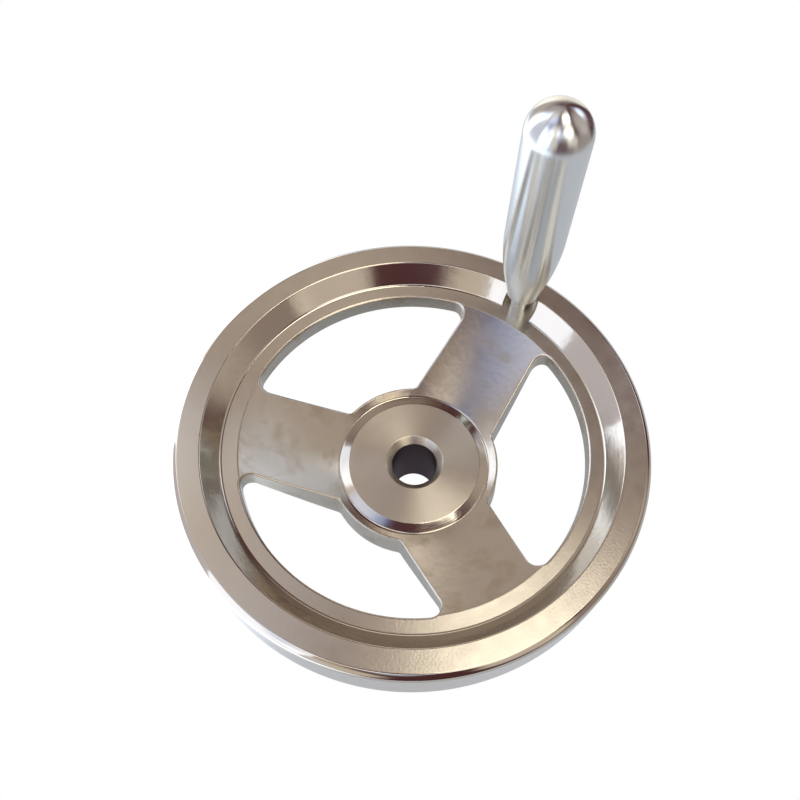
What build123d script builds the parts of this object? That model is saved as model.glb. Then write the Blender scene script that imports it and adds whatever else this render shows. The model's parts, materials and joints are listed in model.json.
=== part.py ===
"""Dished three-spoke machine handwheel with a revolving handle.

The wheel is one casting, turned on its rim, bevel and hub and plated all over.
The handle is a domed steel grip that turns on a spindle screwed into the wheel.

Frame: origin on the bore's axis at the hub's rear face, +Z towards the operator,
+X towards the handle. Millimetres.
"""

import os
from math import radians, tan

from build123d import *

# Rim
WHEEL_DIAMETER = 160.0
RIM_HEIGHT = 22.0
RIM_EDGE_CHAMFER = 2.1
RIM_BACK_CHAMFER = 1.5
RIM_LAND_WIDTH = 7.3
RIM_BACK_WIDTH = 9.0
RIM_FLANK_ANGLE = 22.0
RIM_FLANK_CORNER = 2.5

# Bevel from the rim's land down to the seat ring that carries the handle
BEVEL_DEPTH = 7.0
BEVEL_ANGLE = 52.4
BEVEL_FOOT_RADIUS = 1.2
SEAT_RING_WIDTH = 5.35
SEAT_RING_LIP = 0.3

# Dished web between the seat ring and the hub
RIM_RISE = 23.5
WEB_THICKNESS_AT_RIM = 6.2
WEB_THICKNESS_AT_HUB = 13.9
WEB_BACK_GUSSET = 4.0

# Hub
HUB_LENGTH = 31.0
HUB_REAR_DIAMETER = 40.0
HUB_REAR_CHAMFER = 1.0
BOSS_DIAMETER = 53.0
BOSS_BEVEL_WIDTH = 3.1
BOSS_BEVEL_DEPTH = 0.95
BOSS_STEP = 0.4
BORE_DIAMETER = 16.0
BORE_MOUTH_CHAMFER = 2.3
BORE_REAR_CHAMFER = 1.0

# Windows between the spokes, drafted so that they narrow towards the back
SPOKE_COUNT = 3
SPOKE_WIDTH_AT_RIM = 31.0
SPOKE_WIDTH_AT_HUB = 32.0
HUB_DISC_DIAMETER = 58.4
WINDOW_OUTER_CORNER = 4.0
WINDOW_INNER_CORNER = 3.0
WINDOW_DRAFT = 3.0

# Handle seat: a spot face sunk into the seat ring and the bevel, a boss behind it
HANDLE_INSET = 12.5
SPOT_FACE_DIAMETER = 12.8
SPOT_FACE_DEPTH = 0.1
HANDLE_BOSS_DIAMETER = 20.0
STUD_HOLE_CHAMFER = 0.8

# Spindle: a stud screwed into the seat, a collar and the shank that the grip turns on
STUD_DIAMETER = 6.0
STUD_CLEARANCE = 0.05
STUD_RECESS = 1.0
STUD_CHAMFER = 0.8
STUD_SLOT_WIDTH = 1.0
STUD_SLOT_DEPTH = 1.6
COLLAR_DIAMETER = 7.4
COLLAR_HEIGHT = 10.3
COLLAR_CHAMFER = 0.3
SHANK_DIAMETER = 6.0
SHANK_LENGTH = 57.0
SHANK_CHAMFER = 0.8

# Snap ring that keeps the grip on the shank
RING_GROOVE_DEPTH = 0.6
RING_FROM_TIP = 6.0
RING_THICKNESS = 1.0
RING_WIDTH = 1.1
RING_GAP = 2.6
RING_SIDE_CLEARANCE = 0.1
RING_SEAT_CLEARANCE = 0.05

# Grip: a cone at the mouth, blended into a straight barrel with a domed end
GRIP_LENGTH = 85.1
GRIP_DIAMETER = 20.5
GRIP_MOUTH_DIAMETER = 11.0
GRIP_CONE_ANGLE = 13.0
GRIP_BLEND_RADIUS = 95.0
GRIP_MOUTH_CHAMFER = 0.4
GRIP_BORE_CLEARANCE = 0.05
GRIP_END_CLEARANCE = 0.3
GRIP_GROOVE_CLEARANCE = 0.3
DRILL_TIP_ALLOWANCE = 2.0
DRILL_POINT_ANGLE = 118.0

# Heights above the hub's rear face
RIM_TOP = HUB_LENGTH + RIM_RISE
RIM_BACK = RIM_TOP - RIM_HEIGHT
SEAT_RING_TOP = RIM_TOP - BEVEL_DEPTH
BOSS_EDGE_TOP = HUB_LENGTH - BOSS_BEVEL_DEPTH
WEB_TOP_AT_HUB = BOSS_EDGE_TOP - BOSS_STEP
WEB_BACK_AT_HUB = WEB_TOP_AT_HUB - WEB_THICKNESS_AT_HUB
HANDLE_SEAT = SEAT_RING_TOP - SPOT_FACE_DEPTH
STUD_END = RIM_BACK + STUD_RECESS
COLLAR_TOP = HANDLE_SEAT + COLLAR_HEIGHT
SHANK_TIP = COLLAR_TOP + SHANK_LENGTH
RING_BOTTOM = SHANK_TIP - RING_FROM_TIP
RING_TOP = RING_BOTTOM + RING_THICKNESS
GRIP_BOTTOM = COLLAR_TOP + GRIP_END_CLEARANCE
GRIP_TOP = GRIP_BOTTOM + GRIP_LENGTH

# Radii of the turned steps, from the rim inwards
WHEEL_RADIUS = WHEEL_DIAMETER / 2
LAND_INNER_RADIUS = WHEEL_RADIUS - RIM_EDGE_CHAMFER - RIM_LAND_WIDTH
BEVEL_FOOT = LAND_INNER_RADIUS - BEVEL_DEPTH / tan(radians(BEVEL_ANGLE))
WINDOW_OUTER_RADIUS = BEVEL_FOOT - SEAT_RING_WIDTH
BOSS_RADIUS = BOSS_DIAMETER / 2
BORE_RADIUS = BORE_DIAMETER / 2
HANDLE_PITCH_RADIUS = WHEEL_RADIUS - HANDLE_INSET

# Radii of the spindle, the snap ring and the grip
STUD_RADIUS = STUD_DIAMETER / 2
SHANK_RADIUS = SHANK_DIAMETER / 2
RING_GROOVE_RADIUS = SHANK_RADIUS - RING_GROOVE_DEPTH
RING_INNER_RADIUS = RING_GROOVE_RADIUS + RING_SEAT_CLEARANCE
RING_OUTER_RADIUS = RING_INNER_RADIUS + RING_WIDTH
GRIP_RADIUS = GRIP_DIAMETER / 2

HANDLE_AXIS = Pos(HANDLE_PITCH_RADIUS, 0, 0)


def line_height(x, start, end):
    """Height at x of the straight line through two points."""
    slope = (end[1] - start[1]) / (end[0] - start[0])
    return start[1] + slope * (x - start[0])


def corner(section, point):
    """Corner of a flat section that lies nearest to a point."""
    return section.vertices().sort_by_distance(Vertex(*point))[0]


def turned(section, place=Pos(0, 0, 0)):
    """Solid of a half section, drawn as radius and height, turned about Z."""
    return place * revolve(Plane.XZ * section, Axis.Z)


def wheel_section():
    """Half section of the casting before the windows are opened."""
    web_top_outer = (WINDOW_OUTER_RADIUS - SEAT_RING_LIP, SEAT_RING_TOP)
    web_top_inner = (BOSS_RADIUS, WEB_TOP_AT_HUB)
    web_back_outer = (WINDOW_OUTER_RADIUS, SEAT_RING_TOP - WEB_THICKNESS_AT_RIM)
    web_back_inner = (BOSS_RADIUS, WEB_BACK_AT_HUB)
    hub_rear_radius = HUB_REAR_DIAMETER / 2
    web_meets_hub = (hub_rear_radius, line_height(hub_rear_radius, web_back_outer, web_back_inner))
    flank_foot = (WHEEL_RADIUS - RIM_BACK_CHAMFER - RIM_BACK_WIDTH, RIM_BACK)
    flank_run = (web_back_outer[1] - RIM_BACK) * tan(radians(RIM_FLANK_ANGLE))
    flank_top = (flank_foot[0] - flank_run, web_back_outer[1])
    rim_back_corner = (WHEEL_RADIUS, RIM_BACK)
    rim_front_corner = (WHEEL_RADIUS, RIM_TOP)
    bevel_foot = (BEVEL_FOOT, SEAT_RING_TOP)
    outline = Polyline(
        (BORE_RADIUS, BORE_REAR_CHAMFER),
        (BORE_RADIUS + BORE_REAR_CHAMFER, 0),
        (hub_rear_radius - HUB_REAR_CHAMFER, 0),
        (hub_rear_radius, HUB_REAR_CHAMFER),
        web_meets_hub,
        web_back_outer,
        flank_top,
        flank_foot,
        rim_back_corner,
        rim_front_corner,
        (LAND_INNER_RADIUS, RIM_TOP),
        bevel_foot,
        web_top_outer,
        web_top_inner,
        (BOSS_RADIUS, BOSS_EDGE_TOP),
        (BOSS_RADIUS - BOSS_BEVEL_WIDTH, HUB_LENGTH),
        (BORE_RADIUS + BORE_MOUTH_CHAMFER, HUB_LENGTH),
        (BORE_RADIUS, HUB_LENGTH - BORE_MOUTH_CHAMFER),
        close=True,
    )
    section = make_face(outline)
    section = chamfer(corner(section, rim_front_corner), RIM_EDGE_CHAMFER)
    section = chamfer(corner(section, rim_back_corner), RIM_BACK_CHAMFER)
    section = chamfer(corner(section, flank_foot), RIM_BACK_CHAMFER)
    section = chamfer(corner(section, flank_top), RIM_FLANK_CORNER)
    section = chamfer(corner(section, web_meets_hub), WEB_BACK_GUSSET)
    return fillet(corner(section, bevel_foot), BEVEL_FOOT_RADIUS)


def window_plan(inset):
    """The windows' outlines, set in all round from their size at the seat ring."""
    hub_radius = HUB_DISC_DIAMETER / 2
    flank_at_hub = (hub_radius, SPOKE_WIDTH_AT_HUB / 2 + inset)
    flank_at_rim = (WINDOW_OUTER_RADIUS, SPOKE_WIDTH_AT_RIM / 2 + inset)
    half_at_axis = line_height(0, flank_at_hub, flank_at_rim)
    half_at_edge = line_height(WHEEL_RADIUS, flank_at_hub, flank_at_rim)
    spoke = make_face(
        Polyline(
            (0, -half_at_axis),
            (WHEEL_RADIUS, -half_at_edge),
            (WHEEL_RADIUS, half_at_edge),
            (0, half_at_axis),
            close=True,
        )
    )
    plan = Circle(WINDOW_OUTER_RADIUS - inset) - Circle(hub_radius + inset)
    for index in range(SPOKE_COUNT):
        plan -= Rot(0, 0, index * 360 / SPOKE_COUNT) * spoke
    corners = plan.vertices().sort_by(lambda corner: Vector(corner).length)
    half = len(corners) // 2
    plan = fillet(corners[half:], WINDOW_OUTER_CORNER - inset)
    corners = plan.vertices().sort_by(lambda corner: Vector(corner).length)
    return fillet(corners[:half], WINDOW_INNER_CORNER - inset)


def windows():
    """Drafted cutters for the windows, widening from the web's back to the front."""
    depth = SEAT_RING_TOP - WEB_BACK_AT_HUB
    plan = window_plan(depth * tan(radians(WINDOW_DRAFT)))
    cutters = extrude(plan, amount=depth + BEVEL_DEPTH, taper=-WINDOW_DRAFT)
    return Pos(0, 0, WEB_BACK_AT_HUB) * cutters


def handle_boss():
    """Boss on the casting's back that gives the stud its length of thread."""
    height = SEAT_RING_TOP - WEB_THICKNESS_AT_RIM / 2 - RIM_BACK
    boss = Cylinder(HANDLE_BOSS_DIAMETER / 2, height, align=(Align.CENTER, Align.CENTER, Align.MIN))
    return HANDLE_AXIS * Pos(0, 0, RIM_BACK) * boss


def handle_seat():
    """Cutter for the spot face under the collar and the hole for the stud."""
    hole_radius = STUD_RADIUS + STUD_CLEARANCE
    spot_face_radius = SPOT_FACE_DIAMETER / 2
    outline = Polyline(
        (0, RIM_BACK),
        (hole_radius + STUD_HOLE_CHAMFER, RIM_BACK),
        (hole_radius, RIM_BACK + STUD_HOLE_CHAMFER),
        (hole_radius, HANDLE_SEAT),
        (spot_face_radius, HANDLE_SEAT),
        (spot_face_radius, HANDLE_SEAT + RIM_HEIGHT),
        (0, HANDLE_SEAT + RIM_HEIGHT),
        close=True,
    )
    return turned(make_face(outline), HANDLE_AXIS)


def handwheel():
    """The casting: rim, dished web with its spokes, hub and handle seat."""
    return turned(wheel_section()) - windows() + handle_boss() - handle_seat()


def handle_spindle():
    """Turned spindle with its slotted stud, collar, shank and ring groove."""
    collar_radius = COLLAR_DIAMETER / 2
    groove_top = RING_TOP + RING_SIDE_CLEARANCE
    outline = Polyline(
        (0, STUD_END),
        (STUD_RADIUS - STUD_CHAMFER, STUD_END),
        (STUD_RADIUS, STUD_END + STUD_CHAMFER),
        (STUD_RADIUS, HANDLE_SEAT),
        (collar_radius, HANDLE_SEAT),
        (collar_radius, COLLAR_TOP - COLLAR_CHAMFER),
        (collar_radius - COLLAR_CHAMFER, COLLAR_TOP),
        (SHANK_RADIUS, COLLAR_TOP),
        (SHANK_RADIUS, RING_BOTTOM),
        (RING_GROOVE_RADIUS, RING_BOTTOM),
        (RING_GROOVE_RADIUS, groove_top),
        (SHANK_RADIUS, groove_top),
        (SHANK_RADIUS, SHANK_TIP - SHANK_CHAMFER),
        (SHANK_RADIUS - SHANK_CHAMFER, SHANK_TIP),
        (0, SHANK_TIP),
        close=True,
    )
    slot = Box(STUD_SLOT_WIDTH, STUD_DIAMETER, STUD_SLOT_DEPTH, align=(Align.CENTER, Align.CENTER, Align.MIN))
    return turned(make_face(outline), HANDLE_AXIS) - HANDLE_AXIS * Pos(0, 0, STUD_END) * slot


def handle_snap_ring():
    """Split wire ring that lies in the shank's groove and runs in the grip's groove."""
    plan = Circle(RING_OUTER_RADIUS) - Circle(RING_INNER_RADIUS)
    gap = Rectangle(RING_OUTER_RADIUS, RING_GAP, align=(Align.MIN, Align.CENTER))
    return HANDLE_AXIS * Pos(0, 0, RING_BOTTOM) * extrude(plan - gap, amount=RING_THICKNESS)


def grip_bore():
    """Cutter for the grip's blind bore, with the groove that the snap ring runs in."""
    bore_radius = SHANK_RADIUS + GRIP_BORE_CLEARANCE
    groove_radius = RING_OUTER_RADIUS + GRIP_GROOVE_CLEARANCE
    groove_bottom = RING_BOTTOM - GRIP_END_CLEARANCE
    groove_top = RING_TOP + GRIP_END_CLEARANCE
    bore_top = SHANK_TIP + DRILL_TIP_ALLOWANCE
    outline = Polyline(
        (0, GRIP_BOTTOM),
        (bore_radius, GRIP_BOTTOM),
        (bore_radius, groove_bottom),
        (groove_radius, groove_bottom),
        (groove_radius, groove_top),
        (bore_radius, groove_top),
        (bore_radius, bore_top),
        (0, bore_top + bore_radius / tan(radians(DRILL_POINT_ANGLE / 2))),
        close=True,
    )
    return turned(make_face(outline), HANDLE_AXIS)


def handle_grip():
    """Revolving grip: turned from bar, domed at the end and bored blind."""
    mouth_radius = GRIP_MOUTH_DIAMETER / 2
    cone_height = (GRIP_RADIUS - mouth_radius) / tan(radians(GRIP_CONE_ANGLE))
    mouth = (mouth_radius, GRIP_BOTTOM)
    waist = (GRIP_RADIUS, GRIP_BOTTOM + cone_height)
    dome_height = GRIP_TOP - GRIP_RADIUS
    side = Polyline((0, GRIP_TOP), (0, GRIP_BOTTOM), mouth, waist, (GRIP_RADIUS, dome_height))
    dome = CenterArc((0, dome_height), GRIP_RADIUS, 0, 90)
    section = make_face(side + dome)
    section = fillet(corner(section, waist), GRIP_BLEND_RADIUS)
    section = chamfer(corner(section, mouth), GRIP_MOUTH_CHAMFER)
    return turned(section, HANDLE_AXIS) - grip_bore()


NODES = {
    "handwheel": handwheel,
    "handle_spindle": handle_spindle,
    "handle_snap_ring": handle_snap_ring,
    "handle_grip": handle_grip,
}


def main():
    os.makedirs("parts", exist_ok=True)
    for name, build in NODES.items():
        export_step(build(), f"parts/{name}.step")


if __name__ == "__main__":
    main()
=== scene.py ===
"""Machine handwheel: a plated three-spoke casting, turned on its rim and hub, with a revolving handle.

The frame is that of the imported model: the bore's axis is Z, the hub's rear face lies at height zero
and the handle stands on the +X side. Properties, lights and the floor are in metres. Outlines and
sizes of the pieces are in millimetres, and become metres where a mesh is made.
"""

import json
import math

import bmesh
import bpy
from bpy.props import FloatProperty, FloatVectorProperty, PointerProperty
from mathutils import Matrix, Vector

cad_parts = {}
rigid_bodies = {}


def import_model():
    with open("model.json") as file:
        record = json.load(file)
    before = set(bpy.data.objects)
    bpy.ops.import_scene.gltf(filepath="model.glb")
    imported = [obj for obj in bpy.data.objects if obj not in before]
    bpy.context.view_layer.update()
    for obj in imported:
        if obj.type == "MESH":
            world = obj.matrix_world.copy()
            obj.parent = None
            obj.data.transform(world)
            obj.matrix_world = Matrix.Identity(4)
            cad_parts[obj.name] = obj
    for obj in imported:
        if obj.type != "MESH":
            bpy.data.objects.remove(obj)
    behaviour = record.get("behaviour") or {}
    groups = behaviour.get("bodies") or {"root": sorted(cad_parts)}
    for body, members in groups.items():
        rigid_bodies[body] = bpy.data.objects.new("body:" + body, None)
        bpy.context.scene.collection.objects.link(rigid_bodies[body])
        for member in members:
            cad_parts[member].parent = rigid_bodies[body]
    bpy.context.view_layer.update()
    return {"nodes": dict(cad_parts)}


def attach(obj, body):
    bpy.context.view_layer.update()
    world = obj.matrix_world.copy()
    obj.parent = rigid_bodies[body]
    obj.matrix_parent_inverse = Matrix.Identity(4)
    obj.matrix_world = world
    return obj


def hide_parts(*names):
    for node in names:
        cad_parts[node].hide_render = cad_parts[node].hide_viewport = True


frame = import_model()

bl_info = {
    "name": "Machine handwheel",
    "version": (1, 0, 0),
    "blender": (4, 5, 0),
    "location": "3D View > Sidebar > Handwheel",
    "description": "Builds a plated three-spoke handwheel with a revolving handle and its studio",
    "category": "Add Mesh",
}

MM = 0.001
MERGE = 1e-6
FULL_TURN = 2 * math.pi

# Facets round each turned piece
WHEEL_STEPS = 360
GRIP_STEPS = 144
SPINDLE_STEPS = 96

# Roundings, in millimetres, and the segments that an arc up to that size gets
ARC_SEGMENTS = ((0.2, 2), (0.9, 4), (5, 8), (99, 28))


# ---------------------------------------------------------------- sizes and colours


def length(name, description, millimetres):
    """A length property, given in millimetres."""
    default = millimetres * MM
    return FloatProperty(name=name, description=description, default=default, unit="LENGTH", precision=5)


def angle(name, description, degrees):
    """An angle property, given in degrees."""
    default = math.radians(degrees)
    return FloatProperty(name=name, description=description, default=default, subtype="ANGLE")


def linear(hexcode):
    """Linear red, green, blue and alpha of an sRGB hex colour, by the sRGB curve."""
    parts = [int(hexcode[i : i + 2], 16) / 255 for i in (0, 2, 4)]
    return [c / 12.92 if c <= 0.04045 else ((c + 0.055) / 1.055) ** 2.4 for c in parts] + [1.0]


def colour(name, description, hexcode):
    """A colour property, given as an sRGB hex value."""
    return FloatVectorProperty(
        name=name,
        description=description,
        default=linear(hexcode),
        subtype="COLOR",
        size=4,
        min=0,
        max=1,
    )


class WheelSizes(bpy.types.PropertyGroup):
    """Sizes of the turned casting."""

    radius: length("Radius", "Outer radius of the rim", 80)
    top: length("Rim top", "Height of the rim's turned land", 54.5)
    edge: length("Edge", "Width of the rounded edge outside the land", 2.1)
    land_inner: length("Land inner radius", "Where the land meets the bevel", 70.6)
    bevel_foot: length("Bevel foot radius", "Where the bevel meets the seat ring", 65.21)
    seat_inner: length("Seat ring inner radius", "Where the seat ring meets the windows", 59.86)
    boss_radius: length("Boss radius", "Radius of the hub's raised face", 26.5)
    hub_length: length("Hub length", "Height of the hub's front face", 31)
    bore_radius: length("Bore radius", "Radius of the shaft bore", 8)
    window_round: length("Window edge", "Rounding along the windows' edges", 0.8)


class HandleSizes(bpy.types.PropertyGroup):
    """Sizes of the revolving handle and its spindle."""

    place: length("Place", "Distance of the handle's axis from the bore's", 67.5)
    bottom: length("Grip bottom", "Height of the grip's mouth", 58.0)
    height: length("Grip length", "Length of the grip", 85.1)
    radius: length("Grip radius", "Radius of the barrel", 10.25)
    mouth: length("Mouth radius", "Radius at the grip's lower end", 5.5)
    cone: angle("Cone", "Half angle of the cone above the mouth", 13)
    blend: length("Blend radius", "Radius between cone and barrel", 95)
    collar: length("Collar radius", "Radius of the spindle's collar", 3.7)


class Finishes(bpy.types.PropertyGroup):
    """Colours of the metals and the studio."""

    plate: colour("Plating", "Bright plating on the casting", "C5BEB2")
    chrome: colour("Chrome", "Bright plating on the handle", "D6DADA")
    # The steel colour is partly bare metal's own dull tone and partly painted shade: it is darkened and
    # reddened to the shade deep in the bore. The snap ring shares it.
    steel: colour("Steel", "Bored and spring steel", "60484E")
    floor: colour("Floor", "Studio floor", "B8BCC0")


# ---------------------------------------------------------------- drawing and turning


def start_drawing(name, x, z):
    """New mesh with one vertex in the XZ plane, left in edit mode."""
    bpy.ops.object.select_all(action="DESELECT")
    bpy.ops.mesh.primitive_plane_add(size=MM)
    piece = bpy.context.object
    piece.name = piece.data.name = name
    bpy.ops.object.mode_set(mode="EDIT")
    bpy.ops.mesh.select_mode(type="VERT")
    bpy.ops.mesh.select_all(action="SELECT")
    bpy.ops.mesh.merge(type="CENTER")
    bpy.ops.transform.translate(value=(x, 0, z))
    return piece


def edit_mesh(piece):
    """The piece's mesh as it stands in edit mode."""
    return bmesh.from_edit_mesh(piece.data)


def pick(piece, test, kind="verts"):
    """Selects only the vertices or faces that pass the test."""
    bpy.ops.mesh.select_mode(type="FACE" if kind == "faces" else "VERT")
    bpy.ops.mesh.select_all(action="DESELECT")
    mesh = edit_mesh(piece)
    for element in getattr(mesh, kind):
        element.select_set(test(element))
    mesh.select_flush_mode()
    bmesh.update_edit_mesh(piece.data)


def arc_segments(rounding):
    """How many segments an arc of this size needs to look round."""
    return next(segments for limit, segments in ARC_SEGMENTS if rounding <= limit * MM)


def turn(name, outline, axis_x=0.0, steps=GRIP_STEPS, closed=False):
    """Solid turned about a vertical axis from (radius, height, rounding) corners in millimetres.

    The rounding is the length that each side of the corner gives up to its arc. The axis stands at
    axis_x, in metres.
    """
    corners = [(axis_x + r * MM, z * MM, rounding * MM) for r, z, rounding in outline]
    piece = start_drawing(name, corners[0][0], corners[0][1])
    path = corners + corners[:1] if closed else corners
    for (x0, z0, _), (x1, z1, _) in zip(path, path[1:]):
        bpy.ops.mesh.extrude_region_move(TRANSFORM_OT_translate={"value": (x1 - x0, 0, z1 - z0)})
    bpy.ops.mesh.select_all(action="SELECT")
    bpy.ops.mesh.remove_doubles(threshold=MERGE)
    for x, z, rounding in corners:
        if rounding:
            spot = Vector((x, 0, z))
            pick(piece, lambda v: (v.co - spot).length < MERGE)
            bpy.ops.mesh.bevel(offset=rounding, segments=arc_segments(rounding), affect="VERTICES")
    bpy.ops.mesh.select_all(action="SELECT")
    bpy.ops.mesh.remove_doubles(threshold=MERGE)
    bpy.ops.mesh.spin(steps=steps, angle=FULL_TURN, center=(axis_x, 0, 0), axis=(0, 0, 1))
    bpy.ops.mesh.select_all(action="SELECT")
    bpy.ops.mesh.remove_doubles(threshold=MERGE)
    bpy.ops.mesh.normals_make_consistent(inside=False)
    bpy.ops.object.mode_set(mode="OBJECT")
    return piece


def cut(piece, cutter, operation="DIFFERENCE"):
    """Cuts the cutter away from the piece, or joins it on, and removes the cutter."""
    modifier = piece.modifiers.new(operation, "BOOLEAN")
    modifier.operation = operation
    modifier.solver = "EXACT"
    modifier.material_mode = "INDEX"
    modifier.object = cutter
    bpy.context.view_layer.objects.active = piece
    bpy.ops.object.modifier_apply(modifier=modifier.name)
    bpy.data.objects.remove(cutter)


def paint_faces(piece, slot, test):
    """Gives the faces that pass the test to a material slot."""
    bpy.context.view_layer.objects.active = piece
    bpy.ops.object.mode_set(mode="EDIT")
    pick(piece, test, "faces")
    piece.active_material_index = slot
    bpy.ops.object.material_slot_assign()
    bpy.ops.object.mode_set(mode="OBJECT")


def smooth(piece, degrees=32):
    """Smooth shading across gentle edges, with the broad faces keeping their own slope."""
    bpy.ops.object.select_all(action="DESELECT")
    piece.select_set(True)
    bpy.context.view_layer.objects.active = piece
    bpy.ops.object.shade_smooth_by_angle(angle=math.radians(degrees))
    weighted = piece.modifiers.new("Broad faces", "WEIGHTED_NORMAL")
    weighted.keep_sharp = True
    weighted.weight = 80
    bpy.ops.object.modifier_apply(modifier=weighted.name)


# ---------------------------------------------------------------- the casting's section

# Roundings, from a sharp corner to the broad gusset behind the hub
SHARP = 0
CRISP = 0.1
FINE = 0.15
EASED = 0.2
SOFT = 0.3
BOSS_ROUND = 0.35
WEB_BACK_ROUND = 0.5
BEVEL_FOOT_ROUND = 0.59
EDGE_ROUND = 0.6
PAD_ROUND = 1
RIM_BACK_ROUND = 1.5
FLANK_ROUND = 2.5
GUSSET = 4

# The web's straight front and back, from their feet at the boss to their edges at the seat ring
SEAT_HEIGHT = 47.5
WEB_LIP = 59.56
WEB_EDGE = 59.86
WEB_EDGE_BACK = 41.3
WEB_FOOT = 26.5
WEB_FOOT_FRONT = 29.65
WEB_FOOT_BACK = 15.75
FRONT_SLOPE = (SEAT_HEIGHT - WEB_FOOT_FRONT) / (WEB_LIP - WEB_FOOT)
BACK_SLOPE = (WEB_EDGE_BACK - WEB_FOOT_BACK) / (WEB_EDGE - WEB_FOOT)

# The rear side
HUB_REAR_RADIUS = 20
HUB_REAR_CHAMFER = 1
WEB_MEETS_HUB = 10.77
FLANK_FOOT_RADIUS = 65.95
RIM_BACK = 32.5
RIM_BACK_WIDTH = 10.5

# How far the rim's rounded edge has come in at its middle, as a share of the edge's width
EDGE_FULLNESS = 0.42

# The hub's front: a bevelled boss, a narrow groove round its foot and the bore's chamfered mouth
BOSS_BEVEL_WIDTH = 3.1
BOSS_BEVEL_DEPTH = 0.95
GROOVE_WIDTH = 0.9
GROOVE_FLOOR_WIDTH = 0.25
GROOVE_DEPTH = 0.3
MOUTH_CHAMFER = 2.3

# The handle's seat: a boss on the back, a hole for the stud and a spot face for the collar
PAD_RADIUS = 10
PAD_TOP = 44
STUD_HOLE_RADIUS = 3.05
STUD_HOLE_CHAMFER = 0.8
SPOT_FACE_RADIUS = 6.4
SPOT_FACE = 47.4
CUT_BELOW = 2.5
CUT_TOP = 70


def front_height(r):
    """Height of the web's dished front at a radius."""
    return SEAT_HEIGHT - max(WEB_LIP - r, 0) * FRONT_SLOPE


def back_height(r):
    """Height of the web's back at a radius."""
    return WEB_EDGE_BACK - max(WEB_EDGE - r, 0) * BACK_SLOPE


def wheel_outline(rim, top, edge, land, foot, boss, face, bore):
    """The casting's half section, from the bore's rear end round by the rim to its mouth."""
    fullness = EDGE_FULLNESS * edge
    web_foot = front_height(boss + GROOVE_WIDTH)
    return [
        (bore, HUB_REAR_CHAMFER, SHARP),
        (bore + HUB_REAR_CHAMFER, 0, CRISP),
        (HUB_REAR_RADIUS - HUB_REAR_CHAMFER, 0, SHARP),
        (HUB_REAR_RADIUS, HUB_REAR_CHAMFER, CRISP),
        (HUB_REAR_RADIUS, WEB_MEETS_HUB, GUSSET),
        (WEB_EDGE, WEB_EDGE_BACK, WEB_BACK_ROUND),
        (FLANK_FOOT_RADIUS, WEB_EDGE_BACK, FLANK_ROUND),
        (rim - RIM_BACK_WIDTH, RIM_BACK, RIM_BACK_ROUND),
        (rim, RIM_BACK, RIM_BACK_ROUND),
        (rim, top - edge, EDGE_ROUND),
        (rim - fullness, top - fullness, EDGE_ROUND),
        (rim - edge, top, EASED),
        (land, top, SOFT),
        (foot, SEAT_HEIGHT, BEVEL_FOOT_ROUND),
        (WEB_LIP, SEAT_HEIGHT, SOFT),
        (boss + GROOVE_WIDTH, web_foot, EASED),
        (boss + GROOVE_FLOOR_WIDTH, web_foot - GROOVE_DEPTH, EASED),
        (boss, face - BOSS_BEVEL_DEPTH, BOSS_ROUND),
        (boss - BOSS_BEVEL_WIDTH, face, FINE),
        (bore + MOUTH_CHAMFER, face, FINE),
        (bore, face - MOUTH_CHAMFER, CRISP),
    ]


PAD_OUTLINE = [
    (0, RIM_BACK, SHARP),
    (PAD_RADIUS, RIM_BACK, PAD_ROUND),
    (PAD_RADIUS, PAD_TOP, SHARP),
    (0, PAD_TOP, SHARP),
]

SEAT_OUTLINE = [
    (0, RIM_BACK - CUT_BELOW, SHARP),
    (STUD_HOLE_RADIUS + STUD_HOLE_CHAMFER + CUT_BELOW, RIM_BACK - CUT_BELOW, SHARP),
    (STUD_HOLE_RADIUS, RIM_BACK + STUD_HOLE_CHAMFER, SHARP),
    (STUD_HOLE_RADIUS, SPOT_FACE, SHARP),
    (SPOT_FACE_RADIUS, SPOT_FACE, FINE),
    (SPOT_FACE_RADIUS, CUT_TOP, SHARP),
    (0, CUT_TOP, SHARP),
]


# ---------------------------------------------------------------- the wheel's windows

SPOKES = 3
HUB_DISC = 29.2
SPOKE_HALF_AT_HUB = 16.0
SPOKE_HALF_AT_RIM = 15.5
OUTER_CORNER = 4.0
INNER_CORNER = 3.0
DRAFT = math.tan(math.radians(3.0))

# Steps along each part of half a window's outline
HUB_STEPS = 16
INNER_CORNER_STEPS = 8
FLANK_STEPS = 20
OUTER_CORNER_STEPS = 10
RIM_STEPS = 44
HALVINGS = 60

# The rounded edges' places on their arc, and the cutter's reach past them, in roundings
EDGE_ANGLES = [math.radians(15 * step) for step in range(6)]
PAST_WEB = (-0.1, 1.24)
SETTLING_ROUNDS = 4
CUTTER_BOTTOM = -2
CUTTER_TOP = 60


def heading(vector):
    """Direction of a flat vector as an angle."""
    return math.atan2(vector.y, vector.x)


def arc(centre, radius, start, end, steps, sign):
    """Points along the shorter arc, each with its direction out of the circle, or in for sign -1."""
    end = start + math.remainder(end - start, FULL_TURN)
    for i in range(steps + 1):
        turned = start + (end - start) * i / steps
        out = Vector((math.cos(turned), math.sin(turned)))
        yield centre + out * radius, out * sign


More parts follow.
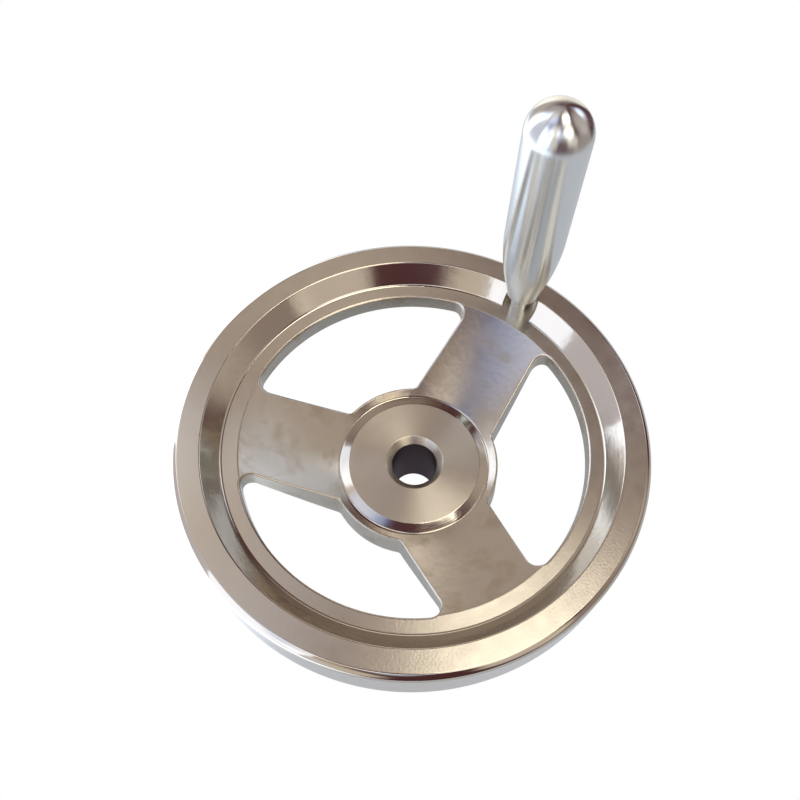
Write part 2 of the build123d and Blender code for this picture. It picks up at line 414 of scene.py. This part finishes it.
def window_outline(outer):
    """One window's plan, centred on +X, as points with the direction that leads into the window."""
    along = Vector((0.5, math.sqrt(0.75)))
    across = Vector((math.sqrt(0.75), -0.5))
    lean = (SPOKE_HALF_AT_RIM - SPOKE_HALF_AT_HUB) / (outer - HUB_DISC)
    into = (across - along * lean) / math.hypot(1, lean)

    def flank(s, away=0.0):
        """Point on the spoke's side at a distance along the spoke, moved away into the window."""
        return along * s + across * (SPOKE_HALF_AT_HUB + lean * (s - HUB_DISC)) + into * away

    def corner_centre(distance, radius):
        """Centre of a corner that touches the spoke's side, at a distance from the wheel's axis."""
        low, high = 0.0, outer
        for _ in range(HALVINGS):
            middle = (low + high) / 2
            low, high = (middle, high) if flank(middle, radius).length < distance else (low, middle)
        return flank(low, radius)

    inner = corner_centre(HUB_DISC + INNER_CORNER, INNER_CORNER)
    rim = corner_centre(outer - OUTER_CORNER, OUTER_CORNER)
    start, end = inner - into * INNER_CORNER, rim - into * OUTER_CORNER
    axis = Vector((0, 0))
    half = list(arc(axis, HUB_DISC, 0, heading(inner), HUB_STEPS, 1))
    half += list(arc(inner, INNER_CORNER, heading(-inner), heading(-into), INNER_CORNER_STEPS, -1))[1:]
    half += [(start.lerp(end, i / FLANK_STEPS), into) for i in range(1, FLANK_STEPS + 1)]
    half += list(arc(rim, OUTER_CORNER, heading(-into), heading(rim), OUTER_CORNER_STEPS, -1))[1:]
    half += list(arc(axis, outer, heading(rim), 0, RIM_STEPS, -1))[1:]
    mirrored = [(Vector((p.x, -p.y)), Vector((n.x, -n.y))) for p, n in reversed(half[1:-1])]
    return half + mirrored


def window_cutter(sizes):
    """A drafted cutter for one window that flares where it leaves the web's front and back."""
    outline = window_outline(sizes.seat_inner / MM)
    rounding = sizes.window_round / MM
    edge = [(1 - math.sin(a), 1 - math.cos(a)) for a in EDGE_ANGLES]
    levels = [(back_height, 1, *step) for step in [PAST_WEB] + edge[::-1]]
    levels += [(front_height, -1, *step) for step in edge + [PAST_WEB]]

    def place(index, level):
        """The outline's point at one level: how deep it lies and how far it spreads, in roundings."""
        height, sign, depth, wide = level
        point, into = outline[index]
        spot = point
        for _ in range(SETTLING_ROUNDS):
            z = height(spot.length) + sign * depth * rounding
            spot = point + into * ((SEAT_HEIGHT - z) * DRAFT - wide * rounding)
        return Vector((spot.x, spot.y, z)) * MM

    bpy.ops.object.select_all(action="DESELECT")
    bpy.ops.mesh.primitive_circle_add(vertices=len(outline), radius=MM, fill_type="NGON")
    cutter = bpy.context.object
    cutter.name = "window_cutter"
    bpy.ops.object.mode_set(mode="EDIT")
    mesh = edit_mesh(cutter)
    spots = mesh.verts.layers.int.new("spot")
    mesh.verts.ensure_lookup_table()
    for index, vertex in enumerate(mesh.verts):
        vertex[spots] = index
        vertex.co = place(index, levels[0])
        vertex.co.z = CUTTER_BOTTOM * MM
    for level in levels + [None]:
        bpy.ops.mesh.extrude_region_move()
        mesh = edit_mesh(cutter)
        spots = mesh.verts.layers.int["spot"]
        for vertex in mesh.verts:
            if vertex.select and level:
                vertex.co = place(vertex[spots], level)
            elif vertex.select:
                vertex.co.z = CUTTER_TOP * MM
        bmesh.update_edit_mesh(cutter.data)
    bpy.ops.mesh.select_all(action="SELECT")
    bpy.ops.mesh.normals_make_consistent(inside=False)
    bpy.ops.object.mode_set(mode="OBJECT")
    return cutter


def window_cutters(sizes):
    """The cutters of all windows as one, each between two spokes."""
    first = window_cutter(sizes)
    first.rotation_euler.z = FULL_TURN / (2 * SPOKES)
    bpy.ops.object.transform_apply(rotation=True)
    for _ in range(SPOKES - 1):
        bpy.ops.object.duplicate()
        bpy.context.object.rotation_euler.z = FULL_TURN / SPOKES
        bpy.ops.object.transform_apply(rotation=True)
    bpy.ops.object.select_all(action="DESELECT")
    for cutter in bpy.context.scene.objects:
        if cutter.name.startswith(first.name):
            cutter.select_set(True)
    bpy.context.view_layer.objects.active = first
    bpy.ops.object.join()
    return first


# ---------------------------------------------------------------- nodes


def add_node(tree, kind, inputs=None, **settings):
    """Adds one node with its settings; each input is a value or the socket that feeds it."""
    made = tree.nodes.new(kind)
    for key, value in settings.items():
        setattr(made, key, value)
    for key, value in (inputs or {}).items():
        if isinstance(value, bpy.types.NodeSocket):
            tree.links.new(value, made.inputs[key])
        else:
            made.inputs[key].default_value = value
    return made


def socket_name(key):
    """The name of a shader's socket, from its keyword."""
    return key.replace("_", " ").title()


def shader(name, **sockets):
    """New material; returns its node tree and its shader with the sockets that stay the same all over."""
    material = bpy.data.materials.new(name)
    material.use_nodes = True
    tree = material.node_tree
    surface = tree.nodes["Principled BSDF"]
    for key, value in sockets.items():
        surface.inputs[socket_name(key)].default_value = value
    return material, tree, surface


def feed(tree, surface, **sockets):
    """Feeds the shader's other sockets from nodes."""
    for key, value in sockets.items():
        tree.links.new(value, surface.inputs[socket_name(key)])


def around_axis(tree, axis_x=0.0):
    """Object coordinates measured from a vertical axis: vector, direction from the axis and radius."""
    place = add_node(tree, "ShaderNodeTexCoord").outputs["Object"]
    moved = {"Vector": place, "Location": (-axis_x, 0, 0)}
    centred = add_node(tree, "ShaderNodeMapping", moved).outputs[0]
    flat = add_node(tree, "ShaderNodeVectorMath", {0: centred, 1: (1, 1, 0)}, operation="MULTIPLY").outputs[0]
    outward = add_node(tree, "ShaderNodeVectorMath", {0: flat}, operation="NORMALIZE").outputs[0]
    radius = add_node(tree, "ShaderNodeVectorMath", {0: flat}, operation="LENGTH").outputs["Value"]
    return centred, outward, radius


def turning_direction(tree, outward):
    """The direction in which the tool ran round the axis, for stretched highlights."""
    sides = {0: (0, 0, 1), 1: outward}
    ran = add_node(tree, "ShaderNodeVectorMath", sides, operation="CROSS_PRODUCT").outputs[0]
    spaces = {"vector_type": "VECTOR", "convert_from": "OBJECT", "convert_to": "WORLD"}
    return add_node(tree, "ShaderNodeVectorTransform", {0: ran}, **spaces).outputs[0]


# ---------------------------------------------------------------- materials

# Turn of the stretched highlights, in full turns, that draws them out across the tool's rings
ACROSS_RINGS = 0.25

# How much the casting's stains darken the plating's red, green and blue
STAIN = (0.86, 0.82, 0.76, 1)


def turned_face(finishes):
    """Bright plating over a face-turned casting.

    Its fine rings open each highlight into a fan, clouds of duller and brighter plating break the
    fan up, and grit gives it a light grain.
    """
    material, tree, surface = shader(
        "turned bright plating",
        base_color=finishes.plate,
        metallic=1.0,
        anisotropic=0.75,
        anisotropic_rotation=ACROSS_RINGS,
    )
    ring_pitch, grit_size, cloud_size = 0.55 * MM, 0.8 * MM, 5 * MM
    place, outward, radius = around_axis(tree)
    circled = add_node(tree, "ShaderNodeVectorMath", {0: outward, "Scale": 9.0}, operation="SCALE")
    ring = add_node(tree, "ShaderNodeMath", {0: radius, 1: 1 / ring_pitch}, operation="MULTIPLY")
    stack = add_node(tree, "ShaderNodeCombineXYZ", {"Z": ring.outputs[0]})
    both = {0: circled.outputs[0], 1: stack.outputs[0]}
    streaks = add_node(tree, "ShaderNodeVectorMath", both, operation="ADD").outputs[0]
    turned = add_node(tree, "ShaderNodeTexNoise", {"Vector": streaks, "Scale": 1.0, "Detail": 3.0})
    grit = add_node(tree, "ShaderNodeTexNoise", {"Vector": place, "Scale": 1 / grit_size, "Detail": 1.0})
    grain = add_node(tree, "ShaderNodeMath", {0: grit.outputs[0], 1: turned.outputs[0]}, operation="ADD")
    cut_by_tool = {"Height": grain.outputs[0], "Strength": 0.6, "Distance": 0.03 * MM}
    cloud = add_node(tree, "ShaderNodeTexNoise", {"Vector": place, "Scale": 1 / cloud_size, "Detail": 3.0})
    dulled = {"Value": cloud.outputs[0], "To Min": 0.24, "To Max": 0.36}
    feed(
        tree,
        surface,
        roughness=add_node(tree, "ShaderNodeMapRange", dulled).outputs[0],
        normal=add_node(tree, "ShaderNodeBump", cut_by_tool).outputs[0],
        tangent=turning_direction(tree, outward),
    )
    return material


def turned_bevel(finishes):
    """Bright plating over a fine-turned bevel.

    It is nearly a mirror. Fine rings draw each reflection out a little across themselves, and a
    slight wave in the metal makes its edges wander.
    """
    material, tree, surface = shader(
        "fine-turned bevel plating",
        base_color=finishes.plate,
        metallic=1.0,
        roughness=0.12,
        anisotropic=0.5,
        anisotropic_rotation=ACROSS_RINGS,
    )
    ring_pitch, wave_length = 0.7 * MM, 6 * MM
    place, outward, radius = around_axis(tree)
    pitched = {"W": radius, "Scale": 1 / ring_pitch, "Detail": 2.0}
    rings = add_node(tree, "ShaderNodeTexNoise", pitched, noise_dimensions="1D")
    cut_by_tool = {"Height": rings.outputs[0], "Strength": 0.2, "Distance": 0.02 * MM}
    ringed = add_node(tree, "ShaderNodeBump", cut_by_tool)
    wave = add_node(tree, "ShaderNodeTexNoise", {"Vector": place, "Scale": 1 / wave_length, "Detail": 2.0})
    waved = {"Height": wave.outputs[0], "Strength": 0.5, "Distance": 0.1 * MM, "Normal": ringed.outputs[0]}
    feed(
        tree,
        surface,
        normal=add_node(tree, "ShaderNodeBump", waved).outputs[0],
        tangent=turning_direction(tree, outward),
    )
    return material


def cast_plate(finishes):
    """Bright plating over an unmachined casting.

    Reflections are softly blurred over a faint orange peel, with patches of brownish stain.
    """
    material, tree, surface = shader("plated casting", metallic=1.0)
    peel_size, cloud_size = 2.2 * MM, 9 * MM
    place = add_node(tree, "ShaderNodeTexCoord").outputs["Object"]
    peel = add_node(tree, "ShaderNodeTexNoise", {"Vector": place, "Scale": 1 / peel_size, "Detail": 1.0})
    peeled = {"Height": peel.outputs[0], "Strength": 0.5, "Distance": 0.04 * MM}
    cloud = add_node(tree, "ShaderNodeTexNoise", {"Vector": place, "Scale": 1 / cloud_size, "Detail": 4.0})
    dulled = {"Value": cloud.outputs[0], "To Min": 0.12, "To Max": 0.3}
    stain = {"Value": cloud.outputs[0], "From Min": 0.52, "From Max": 0.68}
    stain = add_node(tree, "ShaderNodeMapRange", stain).outputs[0]
    tints = {0: stain, 6: finishes.plate, 7: [c * k for c, k in zip(finishes.plate, STAIN)]}
    feed(
        tree,
        surface,
        base_color=add_node(tree, "ShaderNodeMix", tints, data_type="RGBA").outputs[2],
        roughness=add_node(tree, "ShaderNodeMapRange", dulled).outputs[0],
        normal=add_node(tree, "ShaderNodeBump", peeled).outputs[0],
    )
    return material


def bored_steel_in_painted_shade(finishes):
    """Bare bored metal, dull, with the boring tool's rings up the wall. Its dark reddish colour is partly the
    bare metal's own and partly painted shade of the deep bore.
    """
    # Its base colour carries painted shade of the deep bore on top of the bare metal's own dark tone.
    material, tree, surface = shader(
        "bored steel",
        base_color=finishes.steel,
        metallic=1.0,
        roughness=0.42,
    )
    ring_pitch = 0.9 * MM
    place = add_node(tree, "ShaderNodeTexCoord").outputs["Object"]
    height = add_node(tree, "ShaderNodeSeparateXYZ", {0: place}).outputs["Z"]
    pitched = {"W": height, "Scale": 1 / ring_pitch, "Detail": 2.0}
    rings = add_node(tree, "ShaderNodeTexNoise", pitched, noise_dimensions="1D")
    cut_by_tool = {"Height": rings.outputs[0], "Strength": 0.8, "Distance": 0.1 * MM}
    feed(tree, surface, normal=add_node(tree, "ShaderNodeBump", cut_by_tool).outputs[0])
    return material


def polished_metal(name, base, axis_x, roughness=0.08, stretch=0.0):
    """Polished metal or plating: a clear reflection that faint clouds dull here and there.

    On a turned bar the polisher's rings draw it out along the bar, by the stretch.
    """
    material, tree, surface = shader(
        name,
        base_color=base,
        metallic=1.0,
        anisotropic=stretch,
        anisotropic_rotation=ACROSS_RINGS,
    )
    cloud_size = 7 * MM
    place, outward, _ = around_axis(tree, axis_x)
    cloud = add_node(tree, "ShaderNodeTexNoise", {"Vector": place, "Scale": 1 / cloud_size, "Detail": 3.0})
    dulled = {"Value": cloud.outputs[0], "To Min": roughness * 0.9, "To Max": roughness * 1.15}
    feed(
        tree,
        surface,
        roughness=add_node(tree, "ShaderNodeMapRange", dulled).outputs[0],
        tangent=turning_direction(tree, outward),
    )
    return material


# ---------------------------------------------------------------- pieces

# The wheel's material slots
CAST, TURNED, BEVEL, BORED, EDGE = range(5)

# Faces whose middle lies above this height belong to the wheel's front
FRONT_SIDE = 15

# The spindle: stud, shank, collar and the groove for the snap ring
STUD_END = 33.5
STUD_CHAMFER = 0.8
SHANK_RADIUS = 3
COLLAR_TOP = 57.7
GROOVE_RADIUS = 2.4
GROOVE_BOTTOM = 108.7
GROOVE_TOP = 109.8
SHANK_TIP = 114.7

# The screwdriver slot's cutter: width, length and height, halfway into the stud's end
SLOT_CUTTER = (1.0, 10, 3.2)

# The grip's blind bore, with room for the snap ring
GRIP_BORE_RADIUS = 3.05
RING_ROOM_RADIUS = 3.85
RING_ROOM_BOTTOM = 108.4
RING_ROOM_TOP = 110.0
GRIP_BORE_END = 116.7
DRILL_POINT = math.radians(31)
GRIP_MOUTH_ROUND = 0.4


def finish_piece(piece, body, slot, *nodes):
    """Puts a finished piece on its body, in the place of its CAD nodes."""
    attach(piece, body)
    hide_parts(*nodes)


def wheel_palette(finishes):
    """The wheel's materials, in the order of its slots."""
    return [
        cast_plate(finishes),
        turned_face(finishes),
        turned_bevel(finishes),
        bored_steel_in_painted_shade(finishes),
        polished_metal("polished rim plating", finishes.plate, 0.0),
    ]


def give_palette(piece, palette):
    """Gives a piece all of the wheel's materials."""
    for material in palette:
        piece.data.materials.append(material)


def paint_ring(wheel, slot, inner, outer, least=-math.inf, most=math.inf):
    """Gives a slot the front's faces between two radii whose normals rise between two limits."""

    def on_ring(face):
        middle = face.calc_center_median()
        inside = inner * MM < math.hypot(middle.x, middle.y) < outer * MM
        return inside and middle.z > FRONT_SIDE * MM and least < face.normal.z < most

    paint_faces(wheel, slot, on_ring)


class HANDWHEEL_OT_wheel(bpy.types.Operator):
    """Turns the casting, opens its windows and cuts the handle's seat"""

    bl_idname = "handwheel.wheel"
    bl_label = "Wheel"

    def execute(self, context):
        sizes, place = context.scene.wheel_sizes, context.scene.handle_sizes.place
        rim, top, edge = sizes.radius / MM, sizes.top / MM, sizes.edge / MM
        land, foot = sizes.land_inner / MM, sizes.bevel_foot / MM
        boss, face, bore = sizes.boss_radius / MM, sizes.hub_length / MM, sizes.bore_radius / MM
        outline = wheel_outline(rim, top, edge, land, foot, boss, face, bore)
        wheel = turn("plated_handwheel", outline, steps=WHEEL_STEPS, closed=True)
        pad = turn("boss", PAD_OUTLINE, place, SPINDLE_STEPS)
        seat = turn("seat", SEAT_OUTLINE, place, SPINDLE_STEPS)
        palette = wheel_palette(context.scene.finishes)
        for piece in (wheel, pad, seat):
            give_palette(piece, palette)
        cut(wheel, pad, "UNION")

        # Each ring ends near a corner, about where its rounding ends. They are the land, the seat ring,
        # the bevel between them, the hub's face, its bevel and groove, the rim's rounded edge and the
        # bore's mouth. The bore's wall follows.
        paint_ring(wheel, TURNED, land + 0.28, rim - edge - 0.15, least=0.9)
        paint_ring(wheel, TURNED, WEB_LIP - 0.3, foot - 0.6, least=0.95)
        paint_ring(wheel, BEVEL, foot - 0.6, land + 0.28, least=0.5)
        paint_ring(wheel, TURNED, bore + 2.2, boss - 3.0, least=0.99)
        paint_ring(wheel, BEVEL, boss - 3.2, boss + GROOVE_WIDTH, most=0.99)
        paint_ring(wheel, EDGE, rim - edge - 0.15, rim + 1, least=-0.5)
        paint_ring(wheel, TURNED, bore + 0.1, bore + 2.25, least=0.3)
        bore_wall = (bore + 0.05) * MM
        paint_faces(wheel, BORED, lambda f: math.hypot(*f.calc_center_median().xy) < bore_wall)
        cutters = window_cutters(sizes)
        give_palette(cutters, palette)

        # The seat's wall mirrors like the bevel, and its level faces are turned
        paint_faces(seat, BEVEL, lambda f: True)
        paint_faces(seat, TURNED, lambda f: abs(f.normal.z) > 0.9)
        cut(wheel, cutters)
        cut(wheel, seat)
        smooth(wheel)
        finish_piece(wheel, "wheel", "plated_casting", "handwheel")
        return {"FINISHED"}


class HANDWHEEL_OT_grip(bpy.types.Operator):
    """Turns the revolving grip with its domed end and its blind bore"""

    bl_idname = "handwheel.grip"
    bl_label = "Grip"

    def execute(self, context):
        handle, finishes = context.scene.handle_sizes, context.scene.finishes
        radius, mouth, low = handle.radius / MM, handle.mouth / MM, handle.bottom / MM
        top = low + handle.height / MM
        waist = low + (radius - mouth) / math.tan(handle.cone)
        waist_round = handle.blend / MM * math.tan(handle.cone / 2)
        outline = [
            (0, GRIP_BORE_END + GRIP_BORE_RADIUS * math.tan(DRILL_POINT), SHARP),
            (GRIP_BORE_RADIUS, GRIP_BORE_END, SHARP),
            (GRIP_BORE_RADIUS, RING_ROOM_TOP, SHARP),
            (RING_ROOM_RADIUS, RING_ROOM_TOP, SHARP),
            (RING_ROOM_RADIUS, RING_ROOM_BOTTOM, SHARP),
            (GRIP_BORE_RADIUS, RING_ROOM_BOTTOM, SHARP),
            (GRIP_BORE_RADIUS, low, CRISP),
            (mouth, low, GRIP_MOUTH_ROUND),
            (radius, waist, waist_round),
            (radius, top, radius),
            (0, top, SHARP),
        ]
        grip = turn("polished_grip", outline, handle.place)
        plating = polished_metal("polished grip plating", finishes.chrome, handle.place, 0.2, 0.92)
        grip.data.materials.append(plating)
        smooth(grip)
        finish_piece(grip, "grip", "polished_plating", "handle_grip")
        return {"FINISHED"}


class HANDWHEEL_OT_spindle(bpy.types.Operator):
    """Turns the spindle that carries the grip, with its collar, snap ring groove and slotted end"""

    bl_idname = "handwheel.spindle"
    bl_label = "Spindle"

    def execute(self, context):
        handle, finishes = context.scene.handle_sizes, context.scene.finishes
        collar = handle.collar / MM
        outline = [
            (0, STUD_END, SHARP),
            (SHANK_RADIUS, STUD_END, STUD_CHAMFER),
            (SHANK_RADIUS, SPOT_FACE, SHARP),
            (collar, SPOT_FACE, CRISP),
            (collar, COLLAR_TOP, SOFT),
            (SHANK_RADIUS, COLLAR_TOP, SHARP),
            (SHANK_RADIUS, GROOVE_BOTTOM, SHARP),
            (GROOVE_RADIUS, GROOVE_BOTTOM, SHARP),
            (GROOVE_RADIUS, GROOVE_TOP, SHARP),
            (SHANK_RADIUS, GROOVE_TOP, SHARP),
            (SHANK_RADIUS, SHANK_TIP, STUD_CHAMFER),
            (0, SHANK_TIP, SHARP),
        ]
        spindle = turn("handle_spindle_turned", outline, handle.place, SPINDLE_STEPS)
        steel = polished_metal("turned spindle steel", finishes.chrome, handle.place, 0.2, 0.7)
        spindle.data.materials.append(steel)
        bpy.ops.object.select_all(action="DESELECT")
        centre, size = (handle.place, 0, STUD_END * MM), [v * MM for v in SLOT_CUTTER]
        bpy.ops.mesh.primitive_cube_add(size=1, location=centre, scale=size)
        slot = bpy.context.object
        bpy.ops.object.transform_apply(location=True, scale=True)
        slot.data.materials.append(steel)
        cut(spindle, slot)
        smooth(spindle)
        finish_piece(spindle, "wheel", "turned_steel", "handle_spindle")
        ring = frame["nodes"]["handle_snap_ring"]
        ring.data.materials.clear()
        # The snap ring takes the steel colour, which carries the bore's painted shade.
        ring.data.materials.append(polished_metal("spring steel", finishes.steel, handle.place, 0.2))
        return {"FINISHED"}


# ---------------------------------------------------------------- studio

# The viewer stands at azimuth 180 degrees; azimuths run clockwise from straight behind the wheel
VIEW_TURN = math.radians(-57.0)
CAMERA_PLACE = (-98.21, -63.78, 297.49)
CAMERA_TURN = (26.210, -3.305, -56.191)
CAMERA_LENS = 36.345
CAMERA_SHIFT = (-0.0658, 0.0337)
CAMERA_NEAREST = 0.01

# The height, in millimetres, that the area lights are aimed at
AIM_HEIGHT = 60

# The floor, and the places on it between which its glow rises to that of the left window
FLOOR_RADIUS = 0.4
FLOOR_STEPS = 96
WINDOW_STRIP = (-0.04, -0.11)
FLOOR_GLOW = ("E4EEFC", 0.28)
WINDOW_GLOW = ("E6F2FF", 1.9)

# Colours of the light: the room's lamps, the windows and the sky seen through them
WHITE = "FFFFFF"
LAMPLIGHT = "FFFBEC"
DAYLIGHT = "DCEAFF"
SKYLIGHT = "90BCFF"
ROOM_BASE = ("FFA5AF", 0.11)

# Soft patches of the room: name, azimuth, elevation, full within, gone beyond, radiance, colour
ROOM = [
    ("left wall", -90, 0, 42, 52, 0.6, LAMPLIGHT),
    ("left low", -100, -10, 52, 62, 0.3, SKYLIGHT),
    ("upper left", -75, 64, 8, 22, 0.75, LAMPLIGHT),
    ("upper front left", -150, 46, 12, 20, 1.1, LAMPLIGHT),
    ("over left", -100, 66, 8, 16, 0.8, SKYLIGHT),
    ("back left", -30, 6, 8, 46, 0.5, LAMPLIGHT),
    ("back low", 5, -8, 22, 30, 1.2, LAMPLIGHT),
    ("back right", 48, 28, 6, 14, 1.8, DAYLIGHT),
    ("back over", -20, 58, 14, 22, 0.4, LAMPLIGHT),
    ("right", 75, 34, 15, 34, 0.5, LAMPLIGHT),
    ("right low", 105, -6, 26, 38, 0.3, LAMPLIGHT),
    ("right front", 147, 46, 12, 20, 2.3, LAMPLIGHT),
    ("front right", 140, 18, 12, 20, 0.7, LAMPLIGHT),
    ("front", -175, 42, 8, 16, 1.2, DAYLIGHT),
    ("front left", -155, 10, 12, 22, 0.75, LAMPLIGHT),
]

# Area lights: name, azimuth, elevation, distance, width, height, radiance, colour
SOFTBOXES = [
    ("front_window", -128, 18, 2.0, 1.4, 2.2, 1.3, DAYLIGHT),
    ("back_window", -60, 18, 2.0, 0.8, 3.2, 1.75, DAYLIGHT),
    ("warm_lamp", 78, 78, 2.0, 0.9, 0.7, 3.6, LAMPLIGHT),
]


def radiance(tint, strength):
    """A light's colour at a strength that may pass full white."""
    return [c * strength for c in linear(tint)[:3]] + [1.0]


def toward(azimuth, elevation):
    """Direction from the wheel at an azimuth and an elevation, in degrees."""
    a, e = math.radians(azimuth), math.radians(elevation)
    return Vector((math.sin(a) * math.cos(e), math.cos(a) * math.cos(e), math.sin(e)))


def as_viewed(tree, source):
    """Coordinates turned so that their azimuths are the viewer's."""
    place = add_node(tree, "ShaderNodeTexCoord").outputs[source]
    turned = {"Vector": place, "Rotation": (0, 0, -VIEW_TURN)}
    return add_node(tree, "ShaderNodeMapping", turned).outputs[0]


def softbox(name, azimuth, elevation, distance, width, height, strength, tint):
    """Area light on a dome round the wheel, unseen by the camera."""
    bpy.ops.object.select_all(action="DESELECT")
    direction = toward(azimuth, elevation)
    direction.rotate(Matrix.Rotation(VIEW_TURN, 3, "Z"))
    centre = Vector((0, 0, AIM_HEIGHT * MM))
    bpy.ops.object.light_add(type="AREA", location=centre + direction * distance)
    light = bpy.context.object
    light.name = light.data.name = name
    light.rotation_euler = direction.to_track_quat("Z", "Y").to_euler()
    light.data.shape = "RECTANGLE"
    light.data.size, light.data.size_y = width, height
    light.data.energy = strength * math.pi * width * height
    light.data.color = linear(tint)[:3]
    light.visible_camera = False


def pale_floor(finishes):
    """A round pale table: seen directly it is plain white, and it is brighter towards the left window."""
    bpy.ops.object.select_all(action="DESELECT")
    bpy.ops.mesh.primitive_circle_add(vertices=FLOOR_STEPS, radius=FLOOR_RADIUS, fill_type="NGON")
    floor = bpy.context.object
    floor.name = "studio_floor"
    material, tree, surface = shader(
        "pale studio floor",
        base_color=finishes.floor,
        roughness=0.8,
        emission_strength=1.0,
    )
    across = add_node(tree, "ShaderNodeSeparateXYZ", {0: as_viewed(tree, "Object")}).outputs["X"]
    limits = {"Value": across, "From Min": WINDOW_STRIP[0], "From Max": WINDOW_STRIP[1]}
    near_window = add_node(tree, "ShaderNodeMapRange", limits, interpolation_type="SMOOTHSTEP").outputs[0]
    glows = {0: near_window, 6: radiance(*FLOOR_GLOW), 7: radiance(*WINDOW_GLOW)}
    feed(tree, surface, emission_color=add_node(tree, "ShaderNodeMix", glows, data_type="RGBA").outputs[2])
    seen = add_node(tree, "ShaderNodeLightPath").outputs["Is Camera Ray"]
    white = add_node(tree, "ShaderNodeEmission", {"Color": linear(WHITE)})
    both = add_node(tree, "ShaderNodeMixShader", {0: seen, 1: surface.outputs[0], 2: white.outputs[0]})
    tree.links.new(both.outputs[0], tree.nodes["Material Output"].inputs["Surface"])
    floor.data.materials.append(material)


def soft_room():
    """A dim warm room with soft patches of light in it, and plain white behind the wheel."""
    world = bpy.data.worlds.new("soft room")
    bpy.context.scene.world = world
    world.use_nodes = True
    tree = world.node_tree
    tree.nodes.clear()
    view = as_viewed(tree, "Generated")
    shade = radiance(*ROOM_BASE)
    for name, azimuth, elevation, full, gone, strength, tint in ROOM:
        patch = {0: view, 1: toward(azimuth, elevation)}
        near = add_node(tree, "ShaderNodeVectorMath", patch, operation="DOT_PRODUCT").outputs["Value"]
        limits = {"From Min": math.cos(math.radians(gone)), "From Max": math.cos(math.radians(full))}
        soft = {"interpolation_type": "SMOOTHSTEP", "label": name}
        amount = add_node(tree, "ShaderNodeMapRange", {"Value": near} | limits, **soft).outputs[0]
        lit = {0: amount, 6: shade, 7: radiance(tint, strength)}
        shade = add_node(tree, "ShaderNodeMix", lit, data_type="RGBA", blend_type="ADD").outputs[2]
    seen = add_node(tree, "ShaderNodeLightPath").outputs["Is Camera Ray"]
    lit = {0: seen, 6: shade, 7: linear(WHITE)}
    shade = add_node(tree, "ShaderNodeMix", lit, data_type="RGBA").outputs[2]
    light = add_node(tree, "ShaderNodeBackground", {"Color": shade, "Strength": 1.0})
    add_node(tree, "ShaderNodeOutputWorld", {"Surface": light.outputs[0]})


def studio_camera(scene):
    """The camera, which looks down on the wheel."""
    turned = [math.radians(v) for v in CAMERA_TURN]
    bpy.ops.object.camera_add(location=[v * MM for v in CAMERA_PLACE], rotation=turned)
    camera = bpy.context.object
    camera.name = "studio_camera"
    camera.data.lens = CAMERA_LENS
    camera.data.shift_x, camera.data.shift_y = CAMERA_SHIFT
    camera.data.clip_start = CAMERA_NEAREST
    scene.camera = camera
    scene.view_settings.view_transform = "Standard"


class HANDWHEEL_OT_stage(bpy.types.Operator):
    """Sets the pale floor, the soft room light and the camera"""

    bl_idname = "handwheel.stage"
    bl_label = "Studio"

    def execute(self, context):
        pale_floor(context.scene.finishes)
        soft_room()
        for box in SOFTBOXES:
            softbox(*box)
        studio_camera(context.scene)
        return {"FINISHED"}


# ---------------------------------------------------------------- panel and build


class HANDWHEEL_PT_panel(bpy.types.Panel):
    """Sizes, colours and the buttons that build each piece"""

    bl_idname = "HANDWHEEL_PT_panel"
    bl_label = "Handwheel"
    bl_space_type = "VIEW_3D"
    bl_region_type = "UI"
    bl_category = "Handwheel"

    def draw(self, context):
        for group in GROUPS:
            settings = getattr(context.scene, group)
            box = self.layout.box()
            for name in settings.__annotations__:
                box.prop(settings, name)
        for operator in OPERATORS:
            self.layout.operator(operator.bl_idname)


GROUPS = {"wheel_sizes": WheelSizes, "handle_sizes": HandleSizes, "finishes": Finishes}
OPERATORS = (HANDWHEEL_OT_stage, HANDWHEEL_OT_wheel, HANDWHEEL_OT_spindle, HANDWHEEL_OT_grip)


def register():
    """Adds the properties, the operators and the panel."""
    for name, group in GROUPS.items():
        bpy.utils.register_class(group)
        setattr(bpy.types.Scene, name, PointerProperty(type=group))
    for operator in OPERATORS:
        bpy.utils.register_class(operator)
    bpy.utils.register_class(HANDWHEEL_PT_panel)


def unregister():
    """Removes the panel, the operators and the properties."""
    bpy.utils.unregister_class(HANDWHEEL_PT_panel)
    for operator in reversed(OPERATORS):
        bpy.utils.unregister_class(operator)
    for name, group in GROUPS.items():
        delattr(bpy.types.Scene, name)
        bpy.utils.unregister_class(group)


def main():
    """Builds the studio and every piece."""
    register()
    bpy.ops.handwheel.stage()
    bpy.ops.handwheel.wheel()
    bpy.ops.handwheel.spindle()
    bpy.ops.handwheel.grip()


if __name__ == "__main__":
    main()
